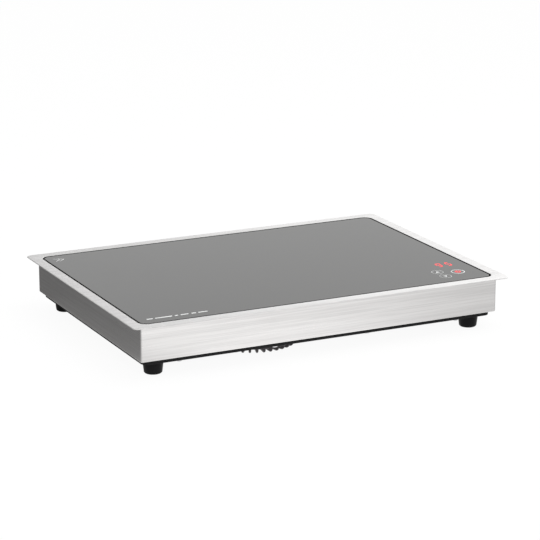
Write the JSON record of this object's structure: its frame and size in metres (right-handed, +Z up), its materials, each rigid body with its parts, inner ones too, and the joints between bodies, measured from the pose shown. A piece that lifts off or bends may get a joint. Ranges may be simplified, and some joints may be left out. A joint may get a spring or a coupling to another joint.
{
  "type": "induction hob",
  "caption": "Shallow worktop induction hob: flush glass plate in a steel top frame, steel housing, moulded base on rubber feet, touch keys, coil and fan inside.",
  "frame": {"origin": "centre of the footprint, on the surface that the four feet stand on", "axes": "+X along the long front side, to the right as the user sees it; +Y to the back; +Z up"},
  "size_m": [0.485, 0.345, 0.065],
  "materials": {
    "glass_black": "polished black glass-ceramic, opaque",
    "silicone_black": "matt silicone joint",
    "steel_brushed": "stainless, brushed along the long side",
    "plastic_black": "moulded, fine texture",
    "plastic_guard": "moulded, slightly violet grey-black",
    "rubber_black": "soft, matt to satin",
    "steel_zinc": "zinc plated",
    "spring_steel": "bright drawn wire",
    "mica": "pressed mica flakes",
    "copper_wire": "enamelled stranded copper",
    "plastic_heatproof": "glass-filled, heat proof",
    "ferrite": "sintered, dull",
    "aluminium_raw": "extruded, unpainted",
    "brass_plain": "turned",
    "board_green": "solder mask",
    "component_black": "moulded epoxy",
    "component_yellow": "wrapped film and tape",
    "component_blue": "sleeved",
    "fuse_glass": "clear tube",
    "nickel_plated": "nickel plated",
    "plastic_white": "moulded, off-white",
    "wire_insulation": "soft sleeve",
    "ribbon_grey": "flat cable",
    "lamp_red": "clear red lens",
    "print_white": "fired ceramic print on the glass",
    "display_red": "lit from below through the glass"
  },
  "bodies": {
    "root": {"glass_plate": "glass_black", "glass_seal": "silicone_black", "top_frame": "steel_brushed", "housing_shell": "steel_brushed", "base_pan": "plastic_black", "base_screws": "steel_zinc", "foot_front_left": "rubber_black", "foot_front_right": "rubber_black", "foot_rear_left": "rubber_black", "foot_rear_right": "rubber_black", "foot_screws": "steel_zinc", "fan_guard": "plastic_guard", "guard_screws": "steel_zinc", "cord_gland": "plastic_black", "gland_nut": "plastic_black", "mica_sheet": "mica", "induction_coil": "copper_wire", "coil_carrier": "plastic_heatproof", "ferrite_bars": "ferrite", "carrier_springs": "spring_steel", "carrier_screws": "steel_zinc", "sensor_holder": "plastic_heatproof", "temperature_sensor": "aluminium_raw", "sensor_spring": "spring_steel", "coil_leads": "copper_wire", "coil_terminals": "brass_plain", "power_board": "board_green", "board_screws": "steel_zinc", "heatsink": "aluminium_raw", "power_transistor": "component_black", "bridge_rectifier": "component_black", "resonant_capacitor": "component_yellow", "filter_capacitors": "component_yellow", "choke_core": "ferrite", "choke_winding": "copper_wire", "supply_transformer": "component_yellow", "smoothing_capacitors": "component_blue", "relay": "component_blue", "mains_fuse": "fuse_glass", "fuse_clips": "nickel_plated", "board_sockets": "plastic_white", "terminal_block": "plastic_white", "mains_wires": "wire_insulation", "earth_stud": "steel_zinc", "earth_nut": "steel_zinc", "control_bracket": "plastic_black", "control_board": "board_green", "control_screws": "steel_zinc", "display_module": "plastic_white", "touch_springs": "spring_steel", "indicator_lamps": "lamp_red", "buzzer": "component_black", "ribbon_cable": "ribbon_grey", "signal_leads": "wire_insulation", "fan_frame": "plastic_black", "fan_stator": "copper_wire", "fan_bearing": "brass_plain"},
    "fan_rotor": {"fan_impeller": "plastic_guard", "fan_magnet": "ferrite", "fan_shaft": "nickel_plated"}
  },
  "joints": [
    {"name": "fan_spin", "type": "hinge", "parent": "root", "child": "fan_rotor", "pos_m": [-0.057, -0.082, 0.03], "axis": [0, 0, 1], "continuous": true}
  ]
}
